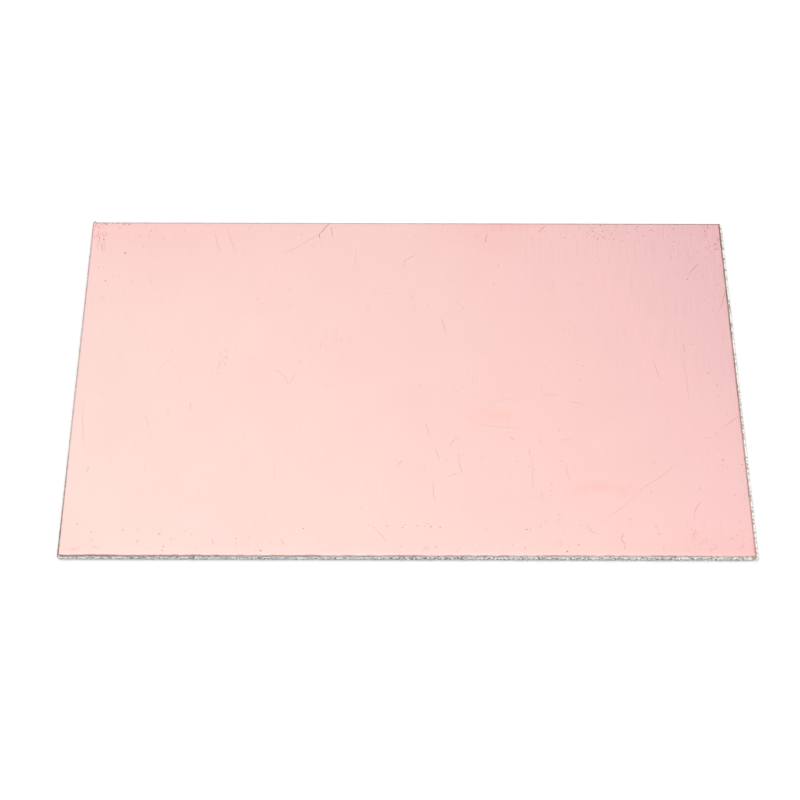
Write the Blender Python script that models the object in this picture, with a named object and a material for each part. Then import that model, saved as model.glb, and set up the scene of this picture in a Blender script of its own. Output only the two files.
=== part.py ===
"""Copper clad board: a glass-epoxy laminate with copper foil on its upper face, guillotined to a stock size.

The board lies flat with the copper up. +X runs along the long sides and +Z is up, and the
origin is at the middle of the bare underside.
"""

import math

import bmesh
import bpy

# Stock size, over the widest line of the cut edges, in metres
BOARD_LENGTH = 0.150
BOARD_WIDTH = 0.100
BOARD_THICKNESS = 0.0016

# Foil of one ounce to the square foot
FOIL_THICKNESS = 0.000035

# The guillotined edge, the same on all four sides. The blade comes down on the copper, so it
# rolls the foil over a little, leaves a bare fringe of laminate outside it, and breaks out below.
FOIL_SETBACK = 0.00025
ROLL_WIDTH = 0.00035
ROLL_DROP = 0.00012
BREAK_INSET = 0.00020
WIDEST_LINE_SHARE = 0.60

# Corners rubbed round in handling
CORNER_RADIUS = 0.00045

# Steps along each curve
ROLL_STEPS = 5
CUT_STEPS = 4
CORNER_STEPS = 6

# Below this angle, neighbouring faces shade as one curved surface
SMOOTH_ANGLE = math.radians(30.0)

# What follows from the sizes above
LAMINATE_THICKNESS = BOARD_THICKNESS - FOIL_THICKNESS
CUT_TOP = LAMINATE_THICKNESS - ROLL_DROP
WIDEST_LINE_HEIGHT = WIDEST_LINE_SHARE * CUT_TOP


def clear_scene():
    for item in list(bpy.data.objects):
        bpy.data.objects.remove(item, do_unlink=True)


def surface(name, color, roughness, metallic):
    """A Principled material with the piece's plain colour and finish."""
    material = bpy.data.materials.new(name)
    material.use_nodes = True
    shader = material.node_tree.nodes["Principled BSDF"]
    shader.inputs["Base Color"].default_value = (*color, 1.0)
    shader.inputs["Roughness"].default_value = roughness
    shader.inputs["Metallic"].default_value = metallic
    material.diffuse_color = (*color, 1.0)
    return material


def bright_copper():
    return surface("bright_copper", (0.82, 0.46, 0.36), 0.30, 1.0)


def glass_epoxy():
    return surface("glass_epoxy", (0.55, 0.56, 0.42), 0.60, 0.0)


def board_outline(inset):
    """The board's round-cornered outline, anticlockwise, drawn in from the widest line by inset."""
    centre_x = BOARD_LENGTH / 2 - inset - CORNER_RADIUS
    centre_y = BOARD_WIDTH / 2 - inset - CORNER_RADIUS
    points = []
    for quarter, (side_x, side_y) in enumerate(((1, 1), (-1, 1), (-1, -1), (1, -1))):
        for step in range(CORNER_STEPS + 1):
            angle = math.radians(90.0) * (quarter + step / CORNER_STEPS)
            x = side_x * centre_x + CORNER_RADIUS * math.cos(angle)
            y = side_y * centre_y + CORNER_RADIUS * math.sin(angle)
            points.append((x, y))
    return points


def rolled_surface():
    """(inset, height) from the foil's edge up on to the flat, where the blade rolled the face down."""
    points = []
    for step in range(ROLL_STEPS + 1):
        share = step / ROLL_STEPS
        inset = FOIL_SETBACK + ROLL_WIDTH * share
        height = LAMINATE_THICKNESS - ROLL_DROP * (1.0 - share) ** 2
        points.append((inset, height))
    return points


def cut_face():
    """(inset, height) up the laminate's cut: out to the widest line, then in to the foil's edge."""
    points = []
    for step in range(CUT_STEPS + 1):
        share = step / CUT_STEPS
        inset = BREAK_INSET * (1.0 - math.sin(math.radians(90.0) * share))
        points.append((inset, WIDEST_LINE_HEIGHT * share))
    for step in range(1, CUT_STEPS):
        share = step / CUT_STEPS
        inset = FOIL_SETBACK * (1.0 - math.cos(math.radians(90.0) * share))
        height = WIDEST_LINE_HEIGHT + (CUT_TOP - WIDEST_LINE_HEIGHT) * share
        points.append((inset, height))
    return points


def solid_from_section(name, section, material):
    """Carries a section round the outline, closes it below and above, and makes the object."""
    shape = bmesh.new()
    rings = []
    for inset, height in section:
        rings.append([shape.verts.new((x, y, height)) for x, y in board_outline(inset)])
    shape.faces.new(list(reversed(rings[0])))
    shape.faces.new(rings[-1])
    for lower, upper in zip(rings, rings[1:]):
        for index, start in enumerate(lower):
            following = (index + 1) % len(lower)
            shape.faces.new((start, lower[following], upper[following], upper[index]))
    mesh = bpy.data.meshes.new(name)
    shape.to_mesh(mesh)
    shape.free()
    mesh.materials.append(material)
    mesh.shade_smooth()
    mesh.set_sharp_from_angle(angle=SMOOTH_ANGLE)
    piece = bpy.data.objects.new(name, mesh)
    bpy.context.scene.collection.objects.link(piece)
    return piece


def glass_epoxy_core():
    """The laminate: glass cloth pressed with epoxy, bare below, with its cut face and rolled top."""
    return solid_from_section("glass_epoxy_core", cut_face() + rolled_surface(), glass_epoxy())


def copper_foil():
    """The foil, bonded all over to the laminate's upper face and following its rolled edge."""
    underside = list(reversed(rolled_surface()))
    upper_side = [(inset, height + FOIL_THICKNESS) for inset, height in rolled_surface()]
    return solid_from_section("copper_foil", underside + upper_side, bright_copper())


def main():
    clear_scene()
    glass_epoxy_core()
    copper_foil()


main()
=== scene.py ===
"""Looks of the copper clad board: bright brushed foil, its handling marks, and the torn glass-epoxy edge.

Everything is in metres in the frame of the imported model: +X along the long sides, +Z out of the
copper face, and the origin at the middle of the bare underside.
"""

import math
import random
from collections import namedtuple

import bpy
from mathutils import Matrix, Vector, noise
from mathutils.geometry import delaunay_2d_cdt


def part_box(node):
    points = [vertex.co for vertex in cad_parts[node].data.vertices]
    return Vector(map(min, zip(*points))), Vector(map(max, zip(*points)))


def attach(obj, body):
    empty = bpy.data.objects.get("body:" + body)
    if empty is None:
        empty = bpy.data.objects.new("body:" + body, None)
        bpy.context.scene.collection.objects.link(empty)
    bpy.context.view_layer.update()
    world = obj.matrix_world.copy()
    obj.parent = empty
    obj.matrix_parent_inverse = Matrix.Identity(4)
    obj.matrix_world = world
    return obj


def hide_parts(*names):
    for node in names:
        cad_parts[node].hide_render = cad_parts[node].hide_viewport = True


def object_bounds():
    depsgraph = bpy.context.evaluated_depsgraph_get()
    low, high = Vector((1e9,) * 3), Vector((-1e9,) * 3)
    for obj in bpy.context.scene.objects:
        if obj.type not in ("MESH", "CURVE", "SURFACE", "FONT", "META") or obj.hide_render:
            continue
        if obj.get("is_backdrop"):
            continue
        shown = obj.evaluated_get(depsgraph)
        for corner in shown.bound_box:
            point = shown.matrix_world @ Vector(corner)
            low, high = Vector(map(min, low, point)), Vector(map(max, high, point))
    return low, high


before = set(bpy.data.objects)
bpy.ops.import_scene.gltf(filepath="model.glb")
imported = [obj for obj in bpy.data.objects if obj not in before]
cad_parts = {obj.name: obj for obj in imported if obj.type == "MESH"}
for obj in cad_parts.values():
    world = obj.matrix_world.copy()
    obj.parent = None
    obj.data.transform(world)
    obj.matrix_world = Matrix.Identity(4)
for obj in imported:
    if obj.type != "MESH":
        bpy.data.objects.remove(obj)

CAD_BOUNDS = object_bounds()

MM = 0.001

# The board's own sizes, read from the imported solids
_, CORE_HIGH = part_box("glass_epoxy_core")
FOIL_LOW, FOIL_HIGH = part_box("copper_foil")
HALF_LENGTH = CORE_HIGH.x
HALF_WIDTH = CORE_HIGH.y
BOARD_TOP = FOIL_HIGH.z
FOIL_SETBACK = CORE_HIGH.x - FOIL_HIGH.x
FOIL_THICKNESS = FOIL_HIGH.z - CORE_HIGH.z
ROLL_DROP = CORE_HIGH.z - FOIL_LOW.z
CUT_TOP = FOIL_LOW.z

# Sizes of the cut edge that the boxes don't give, as the solids have them
ROLL_WIDTH = 0.35 * MM
BREAK_INSET = 0.20 * MM
WIDEST_LINE_HEIGHT = 0.60 * CUT_TOP

# Drawn sharper than the solids' corners, as the board's own are
CORNER_RADIUS = 0.20 * MM

# The blades met the board askew: the foil's edge stands this much further left on both short sides
FOIL_SHIFT = 0.20 * MM
FOIL_LEFT = FOIL_LOW.x - FOIL_SHIFT
FOIL_RIGHT = FOIL_HIGH.x - FOIL_SHIFT

# Glass cloth in the laminate: eight plies, with this spacing of the yarns each way
PLY_COUNT = 8
WARP_PITCH = 0.58 * MM
FILL_PITCH = 0.82 * MM

# Room for scratches and burrs to stand proud without leaving the board's box
FOIL_FACE = BOARD_TOP - 0.006 * MM

# The foil is drawn this much thinner, and the laminate's face this much lower, so that they don't touch
FOIL_CLEARANCE = 0.008 * MM
FACE_CLEARANCE = 0.003 * MM

# The laminate's face under the foil starts this far in from the foil's edge
FACE_START = 0.09 * MM

# Spacing of the points round the laminate's rim, round the foil's and over the foil's flat middle, and
# rows of them up the cut
WALL_SPACING = 0.16 * MM
FOIL_SPACING = 0.22 * MM
MIDDLE_SPACING = 2.5 * MM
WALL_ROWS = 22

# The broken front right foot: how far the chip reaches along and up, and how deep it goes
CHIP_REACH = 1.3 * MM
CHIP_HEIGHT = 0.8 * MM
CHIP_DEPTH = 0.75 * MM

# Tufts of broken strands round the whole edge
TUFT_COUNT = 1500

# Start of the random draws
SEED = 16

Column = namedtuple("Column", "stand facing travelled pitch setback")


def linear(hex_colour):
    """A colour written as sRGB hex, turned to the linear values that Blender works in."""
    channels = []
    for start in (0, 2, 4):
        value = int(hex_colour[start:start + 2], 16) / 255
        channels.append(value / 12.92 if value <= 0.04045 else ((value + 0.055) / 1.055) ** 2.4)
    return (*channels, 1.0)


def grain(across, along, seed):
    """Smooth noise from -1 to 1 at a place given in units of its own grain."""
    return noise.noise(Vector((across, along, seed)))


# Outline and section of the board


def rim_columns(spacing):
    """Columns round the board's rim, anticlockwise from the right side's front end.

    stand is the column's place on a square from -1 to 1, facing is its outward direction,
    travelled is the way run so far, pitch is the spacing of the yarn ends that show there, and
    setback is how far in from the widest line the foil's edge stands.
    """
    columns = []
    travelled = 0.0
    for quarter in range(4):
        angle = math.radians(90.0) * quarter
        facing = Vector((round(math.cos(angle)), round(math.sin(angle))))
        onward = Vector((-facing.y, facing.x))
        along_x = facing.x == 0
        half_run = (HALF_LENGTH if along_x else HALF_WIDTH) - CORNER_RADIUS
        # On the short sides the weave lifts every second yarn into sight
        pitch = FILL_PITCH if along_x else 2 * WARP_PITCH
        setback = FOIL_SETBACK + FOIL_SHIFT * facing.x
        steps = round(2 * half_run / spacing)
        for step in range(steps):
            place = 2 * step / steps - 1
            run = travelled + 2 * half_run * step / steps
            columns.append(Column(facing + onward * place, facing, run, pitch, setback))
        travelled += 2 * half_run
        arc = CORNER_RADIUS * math.radians(90.0)
        steps = max(4, round(arc / spacing))
        for step in range(steps):
            turn = angle + math.radians(90.0) * step / steps
            outward = Vector((math.cos(turn), math.sin(turn)))
            run = travelled + arc * step / steps
            setback = FOIL_SETBACK + FOIL_SHIFT * outward.x
            columns.append(Column(facing + onward, outward, run, pitch, setback))
        travelled += arc
    return columns


def rim_point(column, inset, height):
    """Where a column stands once it is drawn in from the widest line by inset."""
    x = (HALF_LENGTH - inset - CORNER_RADIUS) * column.stand.x + CORNER_RADIUS * column.facing.x
    y = (HALF_WIDTH - inset - CORNER_RADIUS) * column.stand.y + CORNER_RADIUS * column.facing.y
    return (x, y, height)


def clean_cut(column, height):
    """Inset of the clean cut at a height: out to the widest line, then in to the foil's edge."""
    if height < WIDEST_LINE_HEIGHT:
        return BREAK_INSET * (1 - math.sin(math.radians(90.0) * height / WIDEST_LINE_HEIGHT))
    share = (height - WIDEST_LINE_HEIGHT) / (CUT_TOP - WIDEST_LINE_HEIGHT)
    return column.setback * (1 - math.cos(math.radians(90.0) * min(share, 1.0))) ** 1.5


def rolled_drop(from_edge):
    """How far the blade pressed the face down, at a distance in from the foil's edge."""
    return ROLL_DROP * max(0.0, 1 - from_edge / ROLL_WIDTH) ** 2


def flat_fill(ring):
    """Points and triangles that fill a flat ring of (x, y) points, on a grid inside it."""
    points = [Vector(place) for place in ring]
    count = len(points)
    margin = ROLL_WIDTH + FOIL_SETBACK + MIDDLE_SPACING / 2
    columns = round(2 * (HALF_LENGTH - margin) / MIDDLE_SPACING)
    rows = round(2 * (HALF_WIDTH - margin) / MIDDLE_SPACING)
    for column in range(columns + 1):
        for row in range(rows + 1):
            x = (HALF_LENGTH - margin) * (2 * column / columns - 1)
            y = (HALF_WIDTH - margin) * (2 * row / rows - 1)
            points.append(Vector((x, y)))
    border = [(index, (index + 1) % count) for index in range(count)]
    places, _, faces, *_ = delaunay_2d_cdt(points, border, [], 1, 1e-9)
    return [tuple(place) for place in places], [tuple(face) for face in faces]


def joined_rings(start, rings, count):
    """Quads between neighbouring rings of count points each, numbered in their order from start."""
    faces = []
    for row in range(rings - 1):
        low = start + row * count
        high = low + count
        for index in range(count):
            following = (index + 1) % count
            faces.append((low + index, low + following, high + following, high + index))
    return faces


def inside_outline(place):
    """The x and y of a place, moved inside the board's outline where they lie outside."""
    x = min(max(place.x, -HALF_LENGTH), HALF_LENGTH)
    y = min(max(place.y, -HALF_WIDTH), HALF_WIDTH)
    return x, y


def make_piece(name, points, faces, materials):
    """A mesh object of the board, riding with it, with edges sharper than 40 degrees kept crisp."""
    mesh = bpy.data.meshes.new(name)
    mesh.from_pydata(points, [], faces)
    for material in materials:
        mesh.materials.append(material)
    mesh.shade_smooth()
    mesh.set_sharp_from_angle(angle=math.radians(40.0))
    mesh.validate()
    piece = bpy.data.objects.new(name, mesh)
    bpy.context.scene.collection.objects.link(piece)
    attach(piece, "root")
    return piece


# The laminate


def torn_relief(column, height):
    """How far the torn face lies inside the clean cut: plies, yarn ends, tears and chips."""
    run = column.travelled
    ply = PLY_COUNT * height / CUT_TOP
    number = math.floor(ply)
    yarn_end = 0.5 + 0.5 * math.cos(2 * math.pi * (run / column.pitch + 0.37 * number))
    bulge = math.sin(math.pi * (ply - number)) * (0.35 + 0.65 * yarn_end)
    plies = 0.050 * MM * (1 - bulge)
    slanted = run + 0.8 * height
    tear = 0.045 * MM * (1 + grain(slanted / (0.30 * MM), height / (0.16 * MM), 3.1))
    long_tear = 0.050 * MM * (1 + grain(run / (2.4 * MM), height / (0.40 * MM), 8.7))
    chip = 0.30 * MM * max(0.0, grain(run / (0.75 * MM), height / (0.45 * MM), 5.3) - 0.32)
    # The blade shears the upper part smooth, and the lower part breaks
    broken = min(max((1.05 * MM - height) / (0.45 * MM), 0.25), 1.0)
    # The short sides are scalloped from top to bottom, a bump to each yarn that shows
    scallop = 0.035 * MM * (1 - math.cos(2 * math.pi * run / column.pitch)) * abs(column.facing.x)
    return (plies + tear + long_tear + chip) * broken + scallop


def corner_chip(x, y, height):
    """Extra inset where the front right corner is broken away below."""
    away = math.hypot(x - HALF_LENGTH, y + HALF_WIDTH)
    near = max(0.0, 1 - away / CHIP_REACH)
    low = max(0.0, 1 - height / CHIP_HEIGHT)
    return CHIP_DEPTH * near * low


def torn_point(column, height, share=1.0, sunk=0.0):
    """A point of the torn face, with this share of its relief, sunk below the face."""
    inset = clean_cut(column, height) + share * torn_relief(column, height)
    x, y, _ = rim_point(column, inset, height)
    return rim_point(column, inset + corner_chip(x, y, height) + sunk, height)


def torn_wall(columns):
    """Rings of points up the torn face, from the underside to the foil's edge."""
    rings = []
    for row in range(WALL_ROWS + 1):
        height = CUT_TOP * row / WALL_ROWS
        # The relief dies away just under the foil
        share = min(1.0, 3.0 * (1 - row / WALL_ROWS) + 0.25)
        rings.append([torn_point(column, height, share) for column in columns])
    return rings


def laminate_board():
    """The laminate, with its torn edge, the bare fringe round the foil and the pressed underside."""
    columns = rim_columns(WALL_SPACING)
    rings = torn_wall(columns)
    for from_edge in (0.03 * MM, 0.12 * MM, 0.25 * MM, ROLL_WIDTH):
        height = CORE_HIGH.z - rolled_drop(from_edge) - FACE_CLEARANCE
        inset = from_edge + FACE_START
        rings.append([rim_point(column, column.setback + inset, height) for column in columns])
    points = [place for ring in rings for place in ring]
    count = len(columns)
    faces = joined_rings(0, len(rings), count)
    faces.append(tuple(range(len(points) - count, len(points))))
    faces.append(tuple(reversed(range(count))))
    piece = make_piece("laminate_board", points, faces, [cut_laminate(), pressed_laminate()])
    piece.data.polygons[-1].material_index = 1
    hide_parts("glass_epoxy_core")


def torn_strands(chance):
    """Tufts of broken glass strands that stand out of the torn face."""
    columns = rim_columns(WALL_SPACING)
    points = []
    faces = []
    for _ in range(TUFT_COUNT):
        column = chance.choice(columns)
        height = chance.uniform(0.06, 0.97) * CUT_TOP
        across = Vector((-column.facing.y, column.facing.x, 0.0))
        outward = Vector((*column.facing, 0.0))
        lean = chance.choice((-1, 1)) * chance.uniform(0.4, 1.2)
        for _ in range(chance.randint(2, 4)):
            level = min(max(height + chance.uniform(-0.04, 0.04) * MM, 0.04 * MM), CUT_TOP)
            root = Vector(torn_point(column, level, sunk=0.03 * MM))
            root += across * chance.uniform(-0.12, 0.12) * MM
            way = across * lean + outward * chance.uniform(0.1, 0.7)
            way += Vector((0, 0, chance.uniform(-0.9, 0.9)))
            add_strand(points, faces, root, way.normalized(), chance)
    piece = make_piece("torn_strands", points, faces, [bare_glass_strand()])


def add_strand(points, faces, root, way, chance):
    """One broken strand: a thin three-sided spike with a bend, kept inside the board's box."""
    length = chance.uniform(0.12, 0.42) * MM
    radius = chance.uniform(0.012, 0.026) * MM
    askew = Vector((0.3, 0.5, 0.8))
    side = way.cross(askew).normalized()
    other = way.cross(side)
    droop = Vector((0, 0, -0.15)) * length
    start = len(points)
    for share, width in ((0.0, 1.0), (0.55, 0.85), (1.0, 0.45)):
        centre = root + way * length * share + droop * share * share
        for corner in range(3):
            turn = math.radians(120.0) * corner
            place = centre + (side * math.cos(turn) + other * math.sin(turn)) * radius * width
            height = min(max(place.z, 0.0), CORE_HIGH.z)
            points.append((*inside_outline(place), height))
    faces += joined_rings(start, 3, 3)
    faces.append((start + 2, start + 1, start))
    faces.append((start + 6, start + 7, start + 8))


# The foil


def foil_height(from_edge):
    """Height of the foil's face at a distance in from its edge."""
    return FOIL_FACE - rolled_drop(from_edge)


def foil_sheet():
    """The foil: a thin closed sheet with a ragged edge, rolled down round the board."""
    columns = rim_columns(FOIL_SPACING)
    ragged = []
    for column in columns:
        run = column.travelled
        torn = 0.030 * MM * (1 + grain(run / (0.6 * MM), 0.0, 1.7))
        torn += 0.05 * MM * max(0.0, grain(run / (3.0 * MM), 0.0, 6.1))
        # Scalloped with the yarns on the left side, and worn back on the right
        torn += 0.035 * MM * (1 - math.cos(2 * math.pi * run / column.pitch)) * max(0.0, -column.facing.x)
        torn += 0.05 * MM * max(0.0, column.facing.x)
        ragged.append(torn)
    steps = [0.0, 0.04 * MM, 0.09 * MM, 0.15 * MM, 0.22 * MM, 0.28 * MM, ROLL_WIDTH]
    upper = []
    lower = []
    for from_edge in steps:
        keep = 1 - from_edge / ROLL_WIDTH
        ring = []
        under = []
        for column, torn in zip(columns, ragged):
            inset = column.setback + from_edge + torn * keep
            burr = 0.004 * MM * grain(column.travelled / (0.5 * MM), from_edge / MM, 9.9) * keep
            height = foil_height(from_edge) + burr
            ring.append(rim_point(column, inset, height))
            under.append(rim_point(column, inset, height - FOIL_THICKNESS + FOIL_CLEARANCE))
        upper.append(ring)
        lower.append(under)
    rings = list(reversed(lower)) + upper
    points = [place for ring in rings for place in ring]
    count = len(columns)
    faces = joined_rings(0, len(rings), count)
    inner = [(x, y) for x, y, _ in upper[-1]]
    places, fill = flat_fill(inner)
    last = len(points) - count
    foil_underside = FOIL_FACE - FOIL_THICKNESS + FOIL_CLEARANCE
    for first, height, flip in ((last, FOIL_FACE, False), (0, foil_underside, True)):
        extra = len(points)
        points += [(x, y, height) for x, y in places[count:]]
        for face in fill:
            corners = [first + index if index < count else extra + index - count for index in face]
            faces.append(tuple(reversed(corners)) if flip else tuple(corners))
    piece = make_piece("foil_sheet", points, faces, [brushed_foil()])
    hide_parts("copper_foil")


# Tips of foil that the blade bent out over the fringe: root, middle and end, and half their width
# there, all in millimetres
BENT_TIPS = (
    ((-74.12, 49.66, 1.500), (-74.41, 49.82, 1.545), (-74.70, 49.98, 1.575), (0.26, 0.24, 0.14)),
    ((-74.50, -49.72, 1.575), (-74.58, -49.95, 1.500), (-74.66, -49.97, 1.130), (0.30, 0.33, 0.28)),
)


def bent_corners():
    """The bent tips, at the two left corners: small plates, narrow at the end."""
    points = []
    faces = []
    for root, middle, end, half_widths in BENT_TIPS:
        out = (Vector(end) - Vector(root)).normalized()
        across = Vector((-out.y, out.x, 0.0)).normalized()
        thick = across.cross(out) * 0.02
        start = len(points)
        for place, half in zip((root, middle, end), half_widths):
            for offset, lift in ((-half, thick), (half, thick), (half, -thick), (-half, -thick)):
                corner = (Vector(place) + across * offset + lift) * MM
                points.append((*inside_outline(corner), min(corner.z, BOARD_TOP)))
        faces += joined_rings(start, 3, 4)
        faces.append((start + 3, start + 2, start + 1, start))
        faces.append((start + 8, start + 9, start + 10, start + 11))
    piece = make_piece("bent_foil_corners", points, faces, [torn_copper()])


# Marks on the foil

# Scratches that stand out, each with its tone, its width and the points it runs through. Widths,
# places and lengths of all marks are in millimetres, and a tone runs from 0 for the foil's colour to 1 for
# the darkest.
SCRATCHES = {
    "long curve at the back": (0.80, 0.28, [(-18.3, 49.7), (-19.2, 48.5), (-20.0, 47.2), (-21.2, 45.5)]),
    "its faint end":
        (0.42, 0.22, [(-20.6, 46.0), (-23.4, 43.8), (-26.1, 41.6), (-28.0, 40.5), (-29.7, 39.7)]),
    "barb of the long curve": (0.80, 0.30, [(-20.9, 46.2), (-20.8, 44.4)]),
    "foot of the barb": (0.26, 0.22, [(-20.7, 44.6), (-20.6, 42.3)]),
    "dash beside the barb": (0.30, 0.22, [(-22.7, 41.4), (-21.5, 42.6)]),
    "tick beside the long curve": (0.62, 0.26, [(-18.2, 48.5), (-17.9, 46.8), (-17.7, 44.9)]),
    "back left slash": (0.40, 0.20, [(-46.1, 47.5), (-45.5, 45.2), (-45.0, 42.9), (-44.0, 39.9)]),
    "second back left slash": (0.36, 0.22, [(-42.8, 48.2), (-42.1, 45.1), (-41.2, 42.2), (-40.4, 39.8)]),
    "arc at the left": (0.34, 0.20, [(-56.5, 2.5), (-55.5, 4.5), (-53.5, 6.5)]),
    "left arm of the hook": (0.42, 0.20, [(-30.7, 3.1), (-29.2, 2.5), (-27.9, 1.0), (-26.9, -1.4)]),
    "right arm of the hook": (0.38, 0.20, [(-26.9, -1.4), (-25.9, 0.5), (-25.5, 2.7)]),
    "dotted end of the hook": (0.26, 0.24, [(-24.9, 4.2), (-24.0, 6.6)]),
    "bird mark": (0.46, 0.22, [(2.6, 39.1), (1.3, 38.7), (-0.1, 37.7), (-0.7, 37.1), (-0.7, 35.0)]),
    "red drop": (0.20, 0.34, [(-12.2, 41.4), (-12.1, 38.6), (-12.5, 34.9)]),
    "slash on the back edge at the left": (0.40, 0.22, [(-36.6, 48.9), (-37.8, 47.5)]),
    "scuff at the left":
        (0.04, 1.00, [(-30.0, 38.6), (-30.9, 33.9), (-32.3, 26.6), (-34.1, 21.2), (-35.3, 17.6)]),
    "short dark stroke": (0.46, 0.22, [(7.7, 19.3), (8.8, 14.5)]),
    "nick near the back": (0.70, 0.26, [(19.0, 46.0), (18.5, 44.0), (19.0, 43.0)]),
    "arc near the back right corner": (0.70, 0.21, [(68.8, 36.8), (67.5, 35.3), (66.5, 34.0), (65.8, 32.4)]),
    "echo of that arc": (0.36, 0.20, [(68.3, 34.3), (67.4, 33.3)]),
    "arc on the right edge": (0.55, 0.22, [(74.1, 29.0), (73.6, 26.2), (72.9, 23.6), (72.0, 21.1)]),
    "slash at the right": (0.50, 0.20, [(55.8, 5.9), (56.5, 2.9), (57.2, 0.0)]),
    "long upright at the right":
        (0.34, 0.20, [(62.6, 7.2), (62.8, 5.2), (63.1, 0.5), (63.1, -3.1), (63.2, -7.0)]),
    "its dark head": (0.42, 0.26, [(63.0, 11.4), (63.1, 9.9), (63.3, 8.4)]),
    "hook near the back": (0.32, 0.18, [(34.0, 31.5), (34.0, 29.0), (33.0, 27.0)]),
    "slash on the back edge": (0.60, 0.26, [(31.0, 46.5), (33.0, 49.0)]),
    "tick on the back edge": (0.40, 0.20, [(60.9, 49.1), (60.8, 46.6), (60.7, 44.7)]),
    "bend at the left": (0.34, 0.20, [(-59.0, -10.5), (-58.0, -12.5), (-57.5, -14.5)]),
    "end of the bend": (0.18, 0.20, [(-57.5, -14.2), (-57.1, -15.9), (-56.5, -17.5)]),
    "slash at the left": (0.42, 0.22, [(-70.6, -27.5), (-70.2, -26.3), (-69.8, -25.0)]),
    "long upright at the left": (0.24, 0.26, [(-72.5, -6.0), (-72.5, -11.5), (-71.5, -19.5)]),
    "long tooth of the comb": (0.28, 0.20, [(-29.4, -24.5), (-29.3, -27.0), (-29.2, -29.8)]),
    "front slash": (0.38, 0.26, [(-7.9, -41.4), (-5.8, -44.0), (-4.5, -46.3)]),
    "level line": (0.28, 0.20, [(15.2, -13.1), (20.1, -13.7), (25.3, -14.3)]),
    "nick in the middle": (0.45, 0.20, [(4.1, -13.1), (4.5, -14.7), (4.9, -16.3)]),
    "slash in the middle": (0.35, 0.20, [(6.0, -19.4), (6.4, -21.1), (7.0, -23.1)]),
    "back slash": (0.40, 0.20, [(11.8, -16.2), (10.0, -17.9), (9.3, -19.6)]),
    "long arc": (0.42, 0.22, [(11.3, -21.3), (11.3, -23.9), (11.7, -25.9), (12.2, -27.4)]),
    "crossing dash": (0.36, 0.24, [(8.6, -28.1), (9.8, -27.6), (10.8, -26.8)]),
    "lower arc": (0.40, 0.22, [(5.6, -29.1), (5.5, -31.8), (5.7, -33.5), (6.1, -34.7)]),
    "long diagonal": (0.34, 0.18, [(41.4, -40.6), (45.9, -36.9), (49.6, -33.3)]),
    "end of the long diagonal": (0.40, 0.20, [(49.6, -33.3), (52.0, -30.5), (55.2, -28.0), (59.2, -24.0)]),
    "bow": (0.34, 0.20, [(34.8, -24.1), (35.0, -26.9), (35.7, -29.8)]),
    "curl": (0.42, 0.26, [(38.8, -41.2), (39.5, -43.0), (41.0, -43.8)]),
    "dark upright": (0.26, 0.26, [(27.4, -22.2), (27.5, -25.6), (27.3, -28.4), (27.3, -32.0)]),
    "head of the dark upright": (0.34, 0.20, [(27.0, -19.6), (26.8, -21.3), (27.4, -22.7)]),
    "tail of the dark upright": (0.15, 0.24, [(28.8, -31.7), (29.8, -35.1)]),
    "upright arc": (0.28, 0.20, [(29.3, -16.5), (29.5, -17.8), (29.3, -19.1)]),
    "slash on the right edge": (0.55, 0.22, [(70.5, -13.5), (72.3, -11.9), (73.8, -10.4)]),
    "hoop": (0.34, 0.24, [(64.8, -34.5), (63.6, -35.0), (62.4, -37.0), (62.0, -38.4), (61.7, -40.2)]),
    "dark part of the hoop": (0.36, 0.40, [(63.5, -35.2), (62.5, -36.6), (62.0, -38.3)]),
    "foot of the hoop": (0.22, 0.20, [(61.9, -40.3), (63.5, -41.0), (64.4, -39.2)]),
    "tail of the hoop": (0.18, 0.50, [(61.9, -42.6), (61.4, -44.0), (61.0, -45.4)]),
    "level arc": (0.28, 0.22, [(33.3, -17.4), (34.6, -17.5), (36.6, -17.1)]),
    "sloping line": (0.38, 0.22, [(36.1, -6.2), (38.2, -6.7), (40.2, -7.6)]),
    "ragged level line": (0.13, 0.30, [(16.2, -6.5), (18.9, -6.7), (22.3, -5.6), (24.1, -6.1), (27.0, -6.1)]),
    "dash in the upper smudge": (0.24, 0.28, [(30.7, -4.6), (32.0, -4.4), (33.4, -4.4)]),
    "curl on the front edge": (0.36, 0.24, [(3.0, -48.9), (3.9, -47.1), (4.2, -47.9), (3.6, -48.6)]),
    "faint loop at the front": (0.26, 0.26, [(31.1, -46.8), (32.3, -45.6), (32.9, -46.8), (32.2, -47.9)]),
    "wavy upright at the front": (0.55, 0.27, [(46.5, -43.3), (45.8, -45.2), (46.5, -46.6), (46.1, -48.4)]),
}

# Specks and pits that stand out, each with its place, radius and tone
SPECKS = {
    "strong speck at the back left": (-66.5, 39.5, 0.48, 0.58),
    "speck at the left": (-70.5, 30.5, 0.32, 0.60),
    "faint blot behind the middle": (40.5, 30.0, 0.70, 0.09),
    "pit near the back edge": (46.5, 45.0, 0.36, 0.62),
    "its neighbour": (44.0, 47.0, 0.36, 0.64),
    "pit on the back edge": (46.0, 49.0, 0.36, 0.61),
    "speck behind the right side": (65.5, 31.5, 0.32, 0.64),
    "pit at the back right": (73.0, 43.0, 0.38, 0.64),
    "another there": (73.5, 36.0, 0.34, 0.64),
    "black dot at the front left": (-53.5, -44.0, 0.34, 0.64),
    "its companion": (-52.5, -48.5, 0.28, 0.56),
    "black dot at the front": (-31.5, -48.5, 0.38, 0.64),
    "dot left of the middle": (-22.5, -42.5, 0.32, 0.61),
    "dot on the front edge": (34.0, -48.5, 0.40, 0.64),
}

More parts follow.
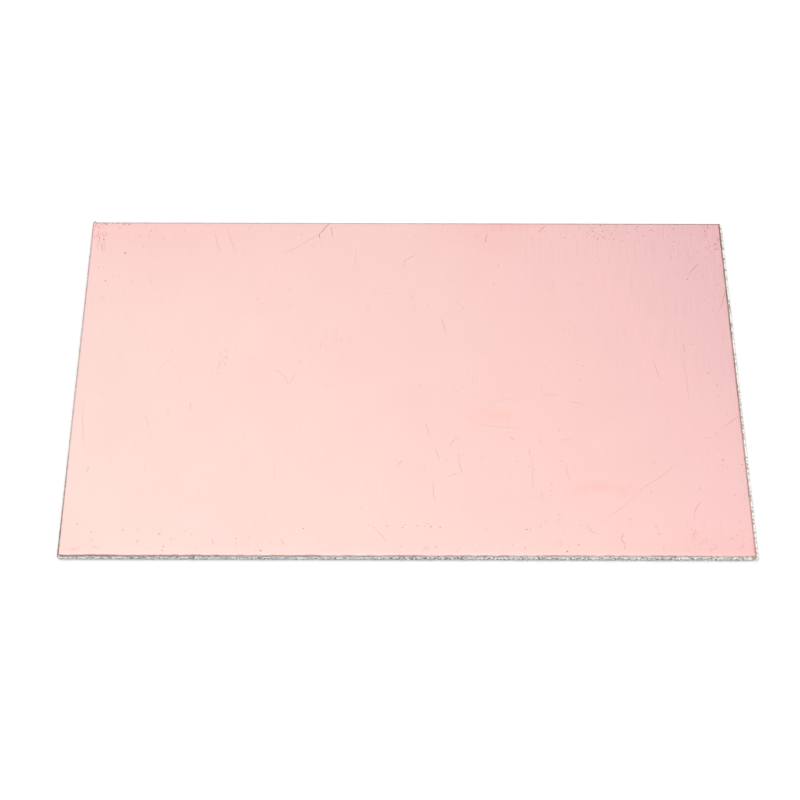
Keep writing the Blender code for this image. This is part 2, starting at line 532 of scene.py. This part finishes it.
# Where short strokes crowd: how many, the patch they lie in, their length and tone, and how far they
# lean, in degrees
STROKE_CROWDS = (
    # Back corners
    (12, (-74.3, -71.4), (41.0, 48.6), (1.0, 3.4), (0.28, 0.66), 8.0),
    (6, (-71.0, -62.0), (41.0, 48.8), (0.8, 1.8), (0.14, 0.40), 10.0),
    (14, (64.0, 74.0), (38.0, 48.8), (0.8, 2.4), (0.20, 0.50), 26.0),
    (10, (70.0, 74.0), (39.0, 49.2), (0.5, 1.6), (0.10, 0.28), 14.0),
    # Tangle left of the middle
    (16, (-43.2, -40.9), (3.6, 9.2), (0.8, 1.6), (0.26, 0.36), 50.0),
    # Left part, middle and front
    (12, (-72.0, -22.0), (-32.0, 18.0), (0.8, 2.6), (0.14, 0.32), 30.0),
    (18, (-28.0, 36.0), (-4.0, 40.0), (0.8, 3.0), (0.14, 0.32), 45.0),
    (12, (-8.0, 72.0), (-43.0, -13.0), (0.8, 2.2), (0.20, 0.44), 30.0),
    (14, (-73.0, 58.0), (-48.4, -45.5), (0.6, 2.0), (0.22, 0.55), 40.0),
    # Back edge
    (26, (10.0, 58.0), (43.5, 49.2), (0.5, 1.6), (0.15, 0.46), 28.0),
    (10, (-74.0, 10.0), (47.0, 49.2), (0.5, 1.5), (0.15, 0.36), 28.0),
    # Right side and its front corner
    (14, (58.0, 74.0), (-46.0, 38.0), (0.6, 2.0), (0.12, 0.34), 24.0),
    (12, (60.0, 74.0), (-49.0, -40.0), (0.6, 1.6), (0.15, 0.42), 20.0),
    # All over
    (45, (-70.0, 70.0), (-48.0, 46.0), (0.5, 2.4), (0.05, 0.18), 28.0),
)
STROKE_WIDTHS = (0.14, 0.30)

# Where pits and specks crowd: how many, the patch they lie in, their radius and their tone
SPECK_CROWDS = (
    # Back corners and back edge
    (10, (-74.3, -71.4), (43.0, 49.2), (0.24, 0.36), (0.35, 0.66)),
    (9, (-72.5, -66.0), (48.9, 49.4), (0.28, 0.40), (0.50, 0.68)),
    (6, (-69.0, -56.0), (43.5, 48.5), (0.24, 0.34), (0.30, 0.54)),
    (16, (70.5, 74.3), (40.5, 49.3), (0.26, 0.38), (0.45, 0.66)),
    (16, (60.0, 72.0), (38.0, 49.2), (0.22, 0.34), (0.35, 0.62)),
    (22, (37.0, 59.0), (43.5, 49.0), (0.22, 0.36), (0.35, 0.64)),
    (10, (-66.0, 16.0), (44.5, 48.8), (0.22, 0.30), (0.28, 0.50)),
    # Left side, middle, right side and front
    (10, (-72.5, -58.0), (16.0, 42.0), (0.22, 0.30), (0.22, 0.52)),
    (26, (-62.0, -2.0), (-41.0, 34.0), (0.22, 0.30), (0.20, 0.40)),
    (26, (0.0, 62.0), (-4.0, 40.0), (0.22, 0.30), (0.24, 0.42)),
    (18, (64.0, 74.0), (-34.0, 34.0), (0.24, 0.32), (0.28, 0.60)),
    (26, (0.0, 74.0), (-45.5, -20.0), (0.24, 0.32), (0.26, 0.42)),
    (40, (-74.0, 74.0), (-48.8, -41.0), (0.23, 0.34), (0.32, 0.60)),
    # Finer ones at the back
    (30, (69.0, 74.2), (37.0, 49.3), (0.14, 0.30), (0.12, 0.42)),
    (26, (36.0, 50.0), (36.0, 48.0), (0.12, 0.24), (0.15, 0.45)),
    (40, (14.0, 70.0), (43.0, 49.4), (0.12, 0.26), (0.15, 0.50)),
    (12, (42.0, 46.0), (43.0, 48.0), (0.16, 0.28), (0.30, 0.60)),
    (10, (-74.4, -66.0), (48.8, 49.5), (0.16, 0.30), (0.35, 0.60)),
    (22, (-66.0, 36.0), (48.2, 49.5), (0.12, 0.26), (0.20, 0.55)),
    # Finer ones at the sides and the front
    (14, (-74.2, -66.0), (-20.0, 44.0), (0.12, 0.24), (0.12, 0.40)),
    (40, (60.0, 74.2), (-49.2, -42.0), (0.12, 0.26), (0.15, 0.50)),
    (26, (73.0, 74.1), (-46.0, -24.0), (0.12, 0.22), (0.20, 0.50)),
    (36, (66.0, 74.2), (-38.0, 36.0), (0.12, 0.22), (0.10, 0.34)),
    (30, (-72.0, 60.0), (-49.3, -46.0), (0.10, 0.24), (0.12, 0.45)),
    # All over
    (80, (-70.0, 70.0), (-46.0, 46.0), (0.10, 0.22), (0.05, 0.22)),
)

# Oxide film and painted reflection on the copper, from front left to back right, and how far it runs each way
FILM_AND_REFLECTION_STOPS = ((0.05, "e8ccc4"), (0.35, "f0cdc6"), (0.60, "f2cac4"), (0.80, "f0c4c2"), (0.95, "e8bdbd"))
FILM_AND_REFLECTION_REACH = 95 * MM

# Finger smudges and reddened corners: middle and reach along and across the board in millimetres,
# then depth and colour
SMUDGES = (
    (20.6, -10.3, 5.0, 1.8, 0.11, "f6a488"),
    (17.6, -10.8, 8.5, 3.4, 0.08, "f6a890"),
    (42.0, -30.6, 7.5, 2.4, 0.17, "f6a090"),
    (37.6, -32.0, 3.4, 1.8, 0.13, "f69c8c"),
    (47.0, -32.2, 3.6, 2.2, 0.13, "f6a088"),
    (32.0, -4.4, 3.6, 1.4, 0.12, "f6a488"),
    (24.0, 49.2, 13.0, 3.0, 0.17, "f69c84"),
    (17.0, 46.5, 18.0, 10.0, 0.08, "f49e98"),
    (61.4, -44.0, 2.4, 3.6, 0.10, "ee9690"),
    (-66.0, 60.0, 62.0, 50.0, 0.20, "f29ea8"),
    (-73.5, 47.0, 4.0, 7.0, 0.10, "f09aa0"),
    (74.0, 46.5, 8.0, 9.0, 0.14, "ee9aa4"),
    (-71.4, -48.2, 1.5, 0.9, 0.30, "f09878"),
    (-75.0, -44.0, 3.0, 12.0, 0.06, "f09ea8"),
    (-75.0, 8.0, 3.2, 46.0, 0.10, "e8a0b4"),
    (69.0, -48.0, 17.0, 8.0, 0.10, "f09a98"),
    (74.7, -47.9, 1.3, 3.2, 0.70, "f08c84"),
)

# The foil's dark rims, partly oxidised torn copper and partly painted shade and a painted dark reflection on
# the
# rolled edge, anticlockwise: outward direction, distance from the middle and half the run in metres, width in
# millimetres, depth at the first end, between and at the last end, and where "between" is, from -1 to 1
RIM_OXIDE_AND_SHADE_SIDES = (
    ((1.0, 0.0, 0.0), FOIL_RIGHT, HALF_WIDTH, 0.48, (0.50, 0.72, 0.92), 0.0),
    ((0.0, 1.0, 0.0), FOIL_HIGH.y, HALF_LENGTH, 0.44, (0.80, 0.46, 0.46), -0.33),
    ((-1.0, 0.0, 0.0), -FOIL_LEFT, HALF_WIDTH, 0.42, (0.44, 0.40, 0.84), 0.3),
    ((0.0, -1.0, 0.0), FOIL_HIGH.y, HALF_LENGTH, 0.28, (0.78, 0.76, 0.84), 0.0),
)

# How far a mark stands out of the foil, and how deep it is rooted
MARK_RISE = 0.0045 * MM
MARK_ROOT = 0.0015 * MM


def face_height(x, y):
    """Height of the foil's face at a place, down over its rolled edge."""
    from_edge = min(x - FOIL_LEFT, FOIL_RIGHT - x, FOIL_HIGH.y - abs(y))
    return foil_height(max(from_edge, 0.0))


def smooth_path(places, step):
    """Points a step apart along a smooth curve through the given places."""
    ends = [places[0] * 2 - places[1], *places, places[-1] * 2 - places[-2]]
    path = []
    for before, start, finish, after in zip(ends, ends[1:], ends[2:], ends[3:]):
        count = max(2, round((finish - start).length / step))
        for index in range(count):
            t = index / count
            bend = 2 * before - 5 * start + 4 * finish - after
            turn = 3 * start - before - 3 * finish + after
            path.append((2 * start + (finish - before) * t + bend * t ** 2 + turn * t ** 3) / 2)
    path.append(places[-1])
    return path


def add_scratch(mesh_data, places, width, tone, chance):
    """A scratch: a low three-sided ridge of pushed-up copper along a curve, thin at both ends."""
    points, faces, tones = mesh_data
    spacing = 0.35 * MM
    path = smooth_path(places, spacing)
    start = len(points)
    for index, place in enumerate(path):
        ahead = path[min(index + 1, len(path) - 1)] - path[max(index - 1, 0)]
        across = Vector((-ahead.y, ahead.x)).normalized()
        share = index / (len(path) - 1)
        half = width / 2 * (0.1 + 0.7 * math.sin(math.pi * share) ** 0.6) * chance.uniform(0.6, 1.2)
        for offset, rise in ((-half, -MARK_ROOT), (0.0, MARK_RISE), (half, -MARK_ROOT)):
            x, y = place + across * offset
            points.append((x, y, face_height(x, y) + rise))
            tones.append(tone * chance.uniform(0.75, 1.1))
    for low, low_next, high_next, high in joined_rings(start, len(path), 3):
        faces.append((low, high, high_next, low_next))
    last = start + 3 * (len(path) - 1)
    faces.append((start, start + 1, start + 2))
    faces.append((last + 2, last + 1, last))


def add_speck(mesh_data, place, radius, tone, chance):
    """A pit or speck: a low uneven blister with seven sides."""
    points, faces, tones = mesh_data
    sides = 7
    start = len(points)
    stretch = chance.uniform(0.6, 1.0)
    slant = chance.uniform(0.0, math.pi)
    for corner in range(sides):
        angle = 2 * math.pi * corner / sides
        reach = radius * chance.uniform(0.7, 1.1)
        along, across = reach * math.cos(angle), reach * stretch * math.sin(angle)
        x = place.x + along * math.cos(slant) - across * math.sin(slant)
        y = place.y + along * math.sin(slant) + across * math.cos(slant)
        points.append((x, y, face_height(x, y) - MARK_ROOT))
    points.append((place.x, place.y, face_height(place.x, place.y) + MARK_RISE))
    tones += [tone * 0.8] * sides + [tone]
    for corner in range(sides):
        faces.append((start + corner, start + (corner + 1) % sides, start + sides))
    faces.append(tuple(start + corner for corner in reversed(range(sides))))


def crowd_places(count, along, across, sizes, tones, chance):
    """Random places in a crowd's patch, each with a size and a tone."""
    for _ in range(count):
        place = Vector((chance.uniform(*along), chance.uniform(*across))) * MM
        yield place, chance.uniform(*sizes) * MM, chance.uniform(*tones)


def marked_piece(name, mesh_data):
    """A piece made of marks, with the tone of each kept at its points."""
    points, faces, tones = mesh_data
    piece = make_piece(name, points, faces, [marked_foil()])
    tone = piece.data.attributes.new("tone", "FLOAT", "POINT")
    tone.data.foreach_set("value", tones)


def foil_scratches(chance):
    """Every scratch and stroke on the copper."""
    mesh_data = ([], [], [])
    for tone, width, places in SCRATCHES.values():
        add_scratch(mesh_data, [Vector(place) * MM for place in places], width * MM, tone, chance)
    margin = 0.1 * MM
    for count, along, across, lengths, tones, spread in STROKE_CROWDS:
        for place, length, tone in crowd_places(count, along, across, lengths, tones, chance):
            angle = math.radians(chance.gauss(90.0, spread))
            reach = Vector((math.cos(angle), math.sin(angle))) * length / 2
            ends = []
            for end in (place - reach, place + reach):
                x = min(max(end.x, FOIL_LEFT + margin), FOIL_RIGHT - margin)
                y = min(max(end.y, -FOIL_HIGH.y + margin), FOIL_HIGH.y - margin)
                ends.append(Vector((x, y)))
            add_scratch(mesh_data, ends, chance.uniform(*STROKE_WIDTHS) * MM, tone, chance)
    marked_piece("foil_scratches", mesh_data)


def foil_specks(chance):
    """Every pit and speck on the copper."""
    mesh_data = ([], [], [])
    for x, y, radius, tone in SPECKS.values():
        add_speck(mesh_data, Vector((x, y)) * MM, radius * MM, tone, chance)
    for crowd in SPECK_CROWDS:
        for place, radius, tone in crowd_places(*crowd, chance):
            add_speck(mesh_data, place, radius, tone, chance)
    marked_piece("foil_specks", mesh_data)


# Materials


def add_node(tree, kind, inputs=None, stops=(), output=0, **settings):
    """Adds one node with its settings, colour stops and links, and returns one of its outputs."""
    made = tree.nodes.new("ShaderNode" + kind)
    for setting, value in settings.items():
        setattr(made, setting, value)
    for socket, value in (inputs or {}).items():
        if isinstance(value, bpy.types.NodeSocket):
            tree.links.new(value, made.inputs[socket])
        else:
            made.inputs[socket].default_value = value
    if stops:
        elements = made.color_ramp.elements
        while len(elements) < len(stops):
            elements.new(0.5)
        for element, (position, hex_colour) in zip(elements, stops):
            element.position = position
            element.color = linear(hex_colour)
    return made.outputs[output] if made.outputs else None


def new_material(name):
    """A new material, its node tree, and the output that gives the place on the piece."""
    material = bpy.data.materials.new(name)
    material.use_nodes = True
    tree = material.node_tree
    tree.nodes.clear()
    return material, tree, add_node(tree, "TexCoord", output="Object")


def foil_colour(tree, place):
    """The foil's colour: oxide film and a painted reflection, from pale peach at the front left to pink at
    the back right.
    """
    # Partly painted reflection: this slant fades the colour as the light's reflection would, with the oxide
    # film
    slant = {0: place, 1: (1.0, 0.4, 0.0)}
    slant = add_node(tree, "VectorMath", slant, output="Value", operation="DOT_PRODUCT")
    slant = add_node(tree, "MapRange", {"Value": slant, "From Min": -FILM_AND_REFLECTION_REACH, "From Max": FILM_AND_REFLECTION_REACH})
    colour = add_node(tree, "ValToRGB", {"Fac": slant}, stops=FILM_AND_REFLECTION_STOPS)
    # Broad, hardly visible clouds left by handling
    cloud = add_node(tree, "TexNoise", {"Vector": place, "Scale": 1 / (14 * MM), "Detail": 2.0})
    cloud = add_node(tree, "MapRange", {"Value": cloud, "From Min": 0.35, "From Max": 0.7, "To Max": 0.06})
    colour = add_node(tree, "Mix", {0: cloud, 6: colour, 7: linear("e0a8a4")}, output=2, data_type="RGBA")
    # Finger smudges and reddened corners
    for x, y, reach_x, reach_y, depth, tint in SMUDGES:
        middle = (x * MM, y * MM, BOARD_TOP)
        shrink = (1 / (reach_x * MM), 1 / (reach_y * MM), 0)
        away = add_node(tree, "VectorMath", {0: place, 1: middle}, operation="SUBTRACT")
        away = add_node(tree, "VectorMath", {0: away, 1: shrink}, operation="MULTIPLY")
        away = add_node(tree, "VectorMath", {0: away}, output="Value", operation="LENGTH")
        fade = {"Value": away, "From Min": 1.0, "From Max": 0.0, "To Max": depth}
        share = add_node(tree, "MapRange", fade, interpolation_type="SMOOTHSTEP")
        colour = add_node(tree, "Mix", {0: share, 6: colour, 7: linear(tint)}, output=2, data_type="RGBA")
    return colour


def rim_oxide_and_shade(tree, place):
    """The foil's dark rim, oxide with painted shade and reflection: crisp along the cut, worn lighter in
    places.
    """
    ragged = add_node(tree, "TexNoise", {"Vector": place, "Scale": 1 / (0.6 * MM), "Detail": 2.0})
    shift = {"Value": ragged, "From Min": 0.3, "From Max": 0.7, "To Min": -0.04 * MM, "To Max": 0.04 * MM}
    shift = add_node(tree, "MapRange", shift)
    share = 0.0
    for direction, distance, half_run, width, (first, between, last), between_place in RIM_OXIDE_AND_SHADE_SIDES:
        onward = (-direction[1], direction[0], 0.0)
        run = add_node(tree, "VectorMath", {0: place, 1: onward}, output="Value", operation="DOT_PRODUCT")
        turning = between_place * half_run
        early = {"Value": run, "From Min": -half_run, "From Max": turning, "To Min": first, "To Max": between}
        early = add_node(tree, "MapRange", early)
        late = {"Value": run, "From Min": turning, "From Max": half_run, "To Max": last - between}
        late = add_node(tree, "MapRange", late)
        side_depth = add_node(tree, "Math", {0: early, 1: late}, operation="ADD")
        out = add_node(tree, "VectorMath", {0: place, 1: direction}, output="Value", operation="DOT_PRODUCT")
        away = add_node(tree, "Math", {0: distance, 1: out}, operation="SUBTRACT")
        away = add_node(tree, "Math", {0: away, 1: shift}, operation="ADD")
        # The rim fades out over a narrow border on its inner side
        edge = {"Value": away, "From Min": (width + 0.04) * MM, "From Max": (width - 0.04) * MM}
        inside = add_node(tree, "MapRange", edge)
        side = add_node(tree, "Math", {0: inside, 1: side_depth}, operation="MULTIPLY")
        share = add_node(tree, "Math", {0: side, 1: share}, operation="MAXIMUM")
    worn = add_node(tree, "TexNoise", {"Vector": place, "Scale": 1 / (2.5 * MM), "Detail": 2.0})
    worn = {"Value": worn, "From Min": 0.4, "From Max": 0.6, "To Min": 0.8, "To Max": 1.08}
    worn = add_node(tree, "MapRange", worn)
    return add_node(tree, "Math", {0: share, 1: worn}, operation="MULTIPLY")


def brushed_foil():
    """Electrodeposited copper foil, brushed along the board's short way: soft rose gloss with fine lines."""
    material, tree, place = new_material("brushed_copper_foil")
    # The brush lines are finer than the render can show, so they are drawn 0.24 mm wide
    stretch = (1 / (0.24 * MM), 1 / (9 * MM), 0)
    stretched = add_node(tree, "VectorMath", {0: place, 1: stretch}, operation="MULTIPLY")
    lines = add_node(tree, "TexNoise", {"Vector": stretched, "Scale": 1.0, "Detail": 1.0})
    dark_lines = add_node(tree, "MapRange", {"Value": lines, "From Min": 0.44, "From Max": 0.66})
    # They show most towards the back right, and in patches
    slant = {0: place, 1: (1.0, 1.0, 0.0)}
    slant = add_node(tree, "VectorMath", slant, output="Value", operation="DOT_PRODUCT")
    slant = {"Value": slant, "From Min": 45 * MM, "From Max": 110 * MM, "To Min": 0.03, "To Max": 0.15}
    depth = add_node(tree, "MapRange", slant)
    patch = add_node(tree, "TexNoise", {"Vector": place, "Scale": 1 / (9 * MM), "Detail": 1.0})
    patch = add_node(tree, "MapRange", {"Value": patch, "From Min": 0.35, "From Max": 0.6, "To Min": 0.60})
    depth = add_node(tree, "Math", {0: depth, 1: patch}, operation="MULTIPLY")
    depth = add_node(tree, "Math", {0: depth, 1: dark_lines}, operation="MULTIPLY")
    lined = {0: depth, 6: foil_colour(tree, place), 7: linear("c08084")}
    colour = add_node(tree, "Mix", lined, output=2, data_type="RGBA")
    # The rim's dark colour: oxidised torn copper, with painted shade and a painted dark reflection on the
    # rolled edge
    rimmed = {0: rim_oxide_and_shade(tree, place), 6: colour, 7: linear("75625a")}
    colour = add_node(tree, "Mix", rimmed, output=2, data_type="RGBA")
    relief = add_node(tree, "Bump", {"Strength": 0.25, "Distance": 0.004 * MM, "Height": lines})
    looks = {"Base Color": colour, "Metallic": 1.0, "Roughness": 0.32, "Normal": relief}
    add_node(tree, "OutputMaterial", {"Surface": add_node(tree, "BsdfPrincipled", looks)})
    return material


def marked_foil():
    """Scored copper: the foil's colour, darkened by each mark's own tone."""
    material, tree, place = new_material("scored_copper_foil")
    tone = add_node(tree, "Attribute", output="Fac", attribute_name="tone")
    mark_tint = add_node(tree, "ValToRGB", {"Fac": tone}, stops=((0.25, "b04e48"), (0.60, "9a443e")))
    dirty = {0: tone, 6: foil_colour(tree, place), 7: mark_tint}
    colour = add_node(tree, "Mix", dirty, output=2, data_type="RGBA")
    looks = {"Base Color": colour, "Metallic": 1.0, "Roughness": 0.42}
    add_node(tree, "OutputMaterial", {"Surface": add_node(tree, "BsdfPrincipled", looks)})
    return material


def torn_copper():
    """Torn copper, bent and dirty: dull tan with an orange cast."""
    material, tree, place = new_material("torn_copper")
    patch = add_node(tree, "TexNoise", {"Vector": place, "Scale": 1 / (0.2 * MM), "Detail": 2.0})
    colour = add_node(tree, "ValToRGB", {"Fac": patch}, stops=((0.35, "6a5248"), (0.55, "d8b8a4")))
    looks = {"Base Color": colour, "Metallic": 1.0, "Roughness": 0.5}
    add_node(tree, "OutputMaterial", {"Surface": add_node(tree, "BsdfPrincipled", looks)})
    return material


def cut_laminate():
    """Guillotined glass-epoxy: pale cream where sheared above, grey glass where broken below, its pits partly
    painted shade.
    """
    material, tree, place = new_material("guillotined_glass_epoxy")
    # Broken yarns lie along the edge, so their specks are longer than they are high
    flatten = (1 / (0.38 * MM), 1 / (0.38 * MM), 1 / (0.24 * MM))
    flattened = add_node(tree, "VectorMath", {0: place, 1: flatten}, operation="MULTIPLY")
    specks = {"Vector": flattened, "Scale": 1.0, "Detail": 2.0, "Roughness": 0.6}
    specks = add_node(tree, "TexNoise", specks)
    # The ramps' ends are partly painted: near black for shade in the pits, white for light on the yarn ends
    broken_stops = ((0.39, "1e1c22"), (0.45, "86848c"), (0.52, "cccbd2"), (0.57, "ffffff"))
    broken = add_node(tree, "ValToRGB", {"Fac": specks}, stops=broken_stops)
    sheared_stops = ((0.39, "4c4a48"), (0.45, "b2b0aa"), (0.52, "e6e4de"), (0.57, "ffffff"))
    sheared = add_node(tree, "ValToRGB", {"Fac": specks}, stops=sheared_stops)
    # The sheared part ends in teeth about a yarn apart, and the foot of the cut is darkened with painted
    # shade
    run = {0: place, 1: (1.0, 1.0, 0.0)}
    run = add_node(tree, "VectorMath", run, output="Value", operation="DOT_PRODUCT")
    drift = add_node(tree, "TexNoise", {"Vector": place, "Scale": 1 / (2 * MM), "Detail": 1.0})
    run = add_node(tree, "Math", {0: drift, 1: 1.2 * MM, 2: run}, operation="MULTIPLY_ADD")
    turn = add_node(tree, "Math", {0: run, 1: 2 * math.pi / FILL_PITCH}, operation="MULTIPLY")
    tooth = add_node(tree, "Math", {0: turn}, operation="SINE")
    height = add_node(tree, "SeparateXYZ", {"Vector": place}, output="Z")
    toothed = add_node(tree, "Math", {0: tooth, 1: 0.14 * MM, 2: height}, operation="MULTIPLY_ADD")
    share = add_node(tree, "MapRange", {"Value": toothed, "From Min": 0.95 * MM, "From Max": 1.15 * MM})
    colour = add_node(tree, "Mix", {0: share, 6: broken, 7: sheared}, output=2, data_type="RGBA")
    # Painted shade: the foot of the cut is greyed towards its lowest edge
    foot = {"Value": height, "From Min": 0.40 * MM, "From Max": 0.10 * MM, "To Max": 0.45}
    foot = add_node(tree, "MapRange", foot)
    colour = add_node(tree, "Mix", {0: foot, 6: colour, 7: linear("85837f")}, output=2, data_type="RGBA")
    # Bare cream resin next to the foil, with a few glass ends that show greenish grey
    ends = add_node(tree, "TexNoise", {"Vector": place, "Scale": 1 / (0.70 * MM), "Detail": 1.0})
    resin = add_node(tree, "ValToRGB", {"Fac": ends}, stops=((0.40, "8e927e"), (0.50, "fffef2")))
    bare = {"Value": height, "From Min": 1.16 * MM, "From Max": 1.34 * MM, "To Max": 0.85}
    bare = add_node(tree, "MapRange", bare)
    colour = add_node(tree, "Mix", {0: bare, 6: colour, 7: resin}, output=2, data_type="RGBA")
    # On the front the top of the cut is darker, most of all at the left: smeared copper and painted shade
    out = {0: place, 1: (0.0, -1.0, 0.0)}
    out = add_node(tree, "VectorMath", out, output="Value", operation="DOT_PRODUCT")
    front = {"Value": out, "From Min": FOIL_HIGH.y - 0.20 * MM, "From Max": FOIL_HIGH.y - 0.05 * MM}
    front = add_node(tree, "MapRange", front)
    uneven = add_node(tree, "Math", {0: specks, 1: 0.8 * MM, 2: height}, operation="MULTIPLY_ADD")
    smear_and_shade = {"Value": uneven, "From Min": 1.57 * MM, "From Max": 1.74 * MM}
    smear_and_shade = add_node(tree, "MapRange", smear_and_shade)
    smear_and_shade = add_node(tree, "Math", {0: smear_and_shade, 1: front}, operation="MULTIPLY")
    along = add_node(tree, "SeparateXYZ", {"Vector": place}, output="X")
    along = {"Value": along, "From Min": -HALF_LENGTH, "From Max": HALF_LENGTH, "To Min": 1.0, "To Max": 0.4}
    along = add_node(tree, "MapRange", along)
    smear_and_shade = add_node(tree, "Math", {0: smear_and_shade, 1: along}, operation="MULTIPLY")
    colour = add_node(tree, "Mix", {0: smear_and_shade, 6: colour, 7: linear("7c685e")}, output=2, data_type="RGBA")
    looks = {"Base Color": colour, "Roughness": 0.7}
    add_node(tree, "OutputMaterial", {"Surface": add_node(tree, "BsdfPrincipled", looks)})
    return material


def pressed_laminate():
    """Pressed glass-epoxy: smooth yellow-green resin over woven cloth, which shows as a fine check."""
    material, tree, place = new_material("pressed_glass_epoxy")
    turns = {0: place, 1: (math.pi / WARP_PITCH, math.pi / FILL_PITCH, 0)}
    turns = add_node(tree, "VectorMath", turns, operation="MULTIPLY")
    waves = add_node(tree, "VectorMath", {0: turns}, operation="SINE")
    wave_x = add_node(tree, "SeparateXYZ", {"Vector": waves}, output="X")
    wave_y = add_node(tree, "SeparateXYZ", {"Vector": waves}, output="Y")
    weave = add_node(tree, "Math", {0: wave_x, 1: wave_y}, operation="MULTIPLY")
    patch = add_node(tree, "TexNoise", {"Vector": place, "Scale": 1 / (12 * MM), "Detail": 4.0})
    mixed = add_node(tree, "Math", {0: weave, 1: 0.10, 2: patch}, operation="MULTIPLY_ADD")
    colour = add_node(tree, "ValToRGB", {"Fac": mixed}, stops=((0.25, "d2d0a6"), (0.75, "e8e6c6")))
    relief = add_node(tree, "Bump", {"Strength": 0.3, "Distance": 0.01 * MM, "Height": weave})
    looks = {"Base Color": colour, "Roughness": 0.38, "Normal": relief}
    add_node(tree, "OutputMaterial", {"Surface": add_node(tree, "BsdfPrincipled", looks)})
    return material


def bare_glass_strand():
    """Broken glass yarn: white and slightly shiny."""
    material, tree, place = new_material("bare_glass_strand")
    tint = add_node(tree, "TexNoise", {"Vector": place, "Scale": 1 / (2 * MM)})
    colour = add_node(tree, "ValToRGB", {"Fac": tint}, stops=((0.3, "bcbabd"), (0.7, "efeeec")))
    looks = {"Base Color": colour, "Roughness": 0.45}
    add_node(tree, "OutputMaterial", {"Surface": add_node(tree, "BsdfPrincipled", looks)})
    return material


# Floor, light and camera


def pale_floor():
    """A plain white floor of matt paper that keeps the board's shadow, 20 metres each way."""
    reach = 20.0
    corners = [(-reach, -reach, 0), (reach, -reach, 0), (reach, reach, 0), (-reach, reach, 0)]
    mesh = bpy.data.meshes.new("floor")
    mesh.from_pydata(corners, [], [(0, 1, 2, 3)])
    floor = bpy.data.objects.new("floor", mesh)
    bpy.context.scene.collection.objects.link(floor)
    floor.location.z = -0.01 * MM
    material, tree, _ = new_material("floor_paper")
    camera_ray = add_node(tree, "LightPath", output="Is Camera Ray")
    glossy_ray = add_node(tree, "LightPath", output="Is Glossy Ray")
    shown = add_node(tree, "Math", {0: camera_ray, 1: glossy_ray}, operation="MAXIMUM")
    tones = {0: shown, 6: linear("e7e7e7"), 7: linear("ffffff")}
    colour = add_node(tree, "Mix", tones, output=2, data_type="RGBA")
    add_node(tree, "OutputMaterial", {"Surface": add_node(tree, "BsdfDiffuse", {"Color": colour})})
    mesh.materials.append(material)
    floor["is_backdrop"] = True


def white_surroundings(level):
    """A world of that plain level, which the camera, gloss and clear things see as white."""
    world = bpy.data.worlds.new("studio")
    bpy.context.scene.world = world
    world.use_nodes = True
    tree = world.node_tree
    tree.nodes.clear()
    camera_ray = add_node(tree, "LightPath", output="Is Camera Ray")
    glossy_ray = add_node(tree, "LightPath", output="Is Glossy Ray")
    clear_ray = add_node(tree, "LightPath", output="Is Transmission Ray")
    seen = add_node(tree, "Math", {0: camera_ray, 1: glossy_ray}, operation="MAXIMUM")
    seen = add_node(tree, "Math", {0: seen, 1: clear_ray}, operation="MAXIMUM")
    lighting = add_node(tree, "Background", {"Color": linear("ffffff"), "Strength": level})
    white = add_node(tree, "Background", {"Color": linear("ffffff"), "Strength": 1.0})
    both = add_node(tree, "MixShader", {0: seen, 1: lighting, 2: white})
    add_node(tree, "OutputWorld", {"Surface": both})


def softbox(name, place, size, power):
    """A square soft lamp at a place, turned to the board."""
    lamp = bpy.data.lights.new(name, "AREA")
    lamp.shape = "SQUARE"
    lamp.size = size
    lamp.energy = power
    holder = bpy.data.objects.new(name, lamp)
    bpy.context.scene.collection.objects.link(holder)
    holder.location = place
    towards_board = Vector((0.0, 0.0, 0.0)) - Vector(place)
    holder.rotation_euler = towards_board.to_track_quat("-Z", "Y").to_euler()


def photograph_camera():
    """The camera at the photograph's angle: it looks down on the copper from the front."""
    camera = bpy.data.cameras.new("camera")
    camera.lens = 116.27
    camera.sensor_width = 36.0
    camera.clip_start = 0.01
    holder = bpy.data.objects.new("camera", camera)
    bpy.context.scene.collection.objects.link(holder)
    pitch, yaw, roll = math.radians(49.351), math.radians(0.189), math.radians(0.278)
    distance = 579.69 * MM
    aim = Vector((-1.726, -5.971, 1.600)) * MM
    out = Vector((-math.sin(yaw) * math.cos(pitch), -math.cos(yaw) * math.cos(pitch), math.sin(pitch)))
    holder.location = aim + out * distance
    level = (-out).to_track_quat("-Z", "Y").to_matrix()
    holder.rotation_euler = (level @ Matrix.Rotation(roll, 3, "Z")).to_euler()
    bpy.context.scene.camera = holder


def main():
    """Everything, from the board's pieces to the camera."""
    chance = random.Random(SEED)
    laminate_board()
    torn_strands(chance)
    foil_sheet()
    bent_corners()
    foil_scratches(chance)
    foil_specks(chance)
    pale_floor()
    white_surroundings(0.78)
    softbox("key_softbox", (-0.8, 0.6, 2.0), 2.4, 5.0)
    softbox("front_softbox", (0.2, -1.5, 1.5), 1.6, 9.0)
    softbox("overhead_softbox", (0.0, 0.0, 2.5), 1.5, 12.0)
    photograph_camera()
    bpy.context.scene.view_settings.view_transform = "Standard"


main()

boxes = {"cad": CAD_BOUNDS, "visual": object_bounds()}
{name: [list(corner) for corner in box] for name, box in boxes.items()}
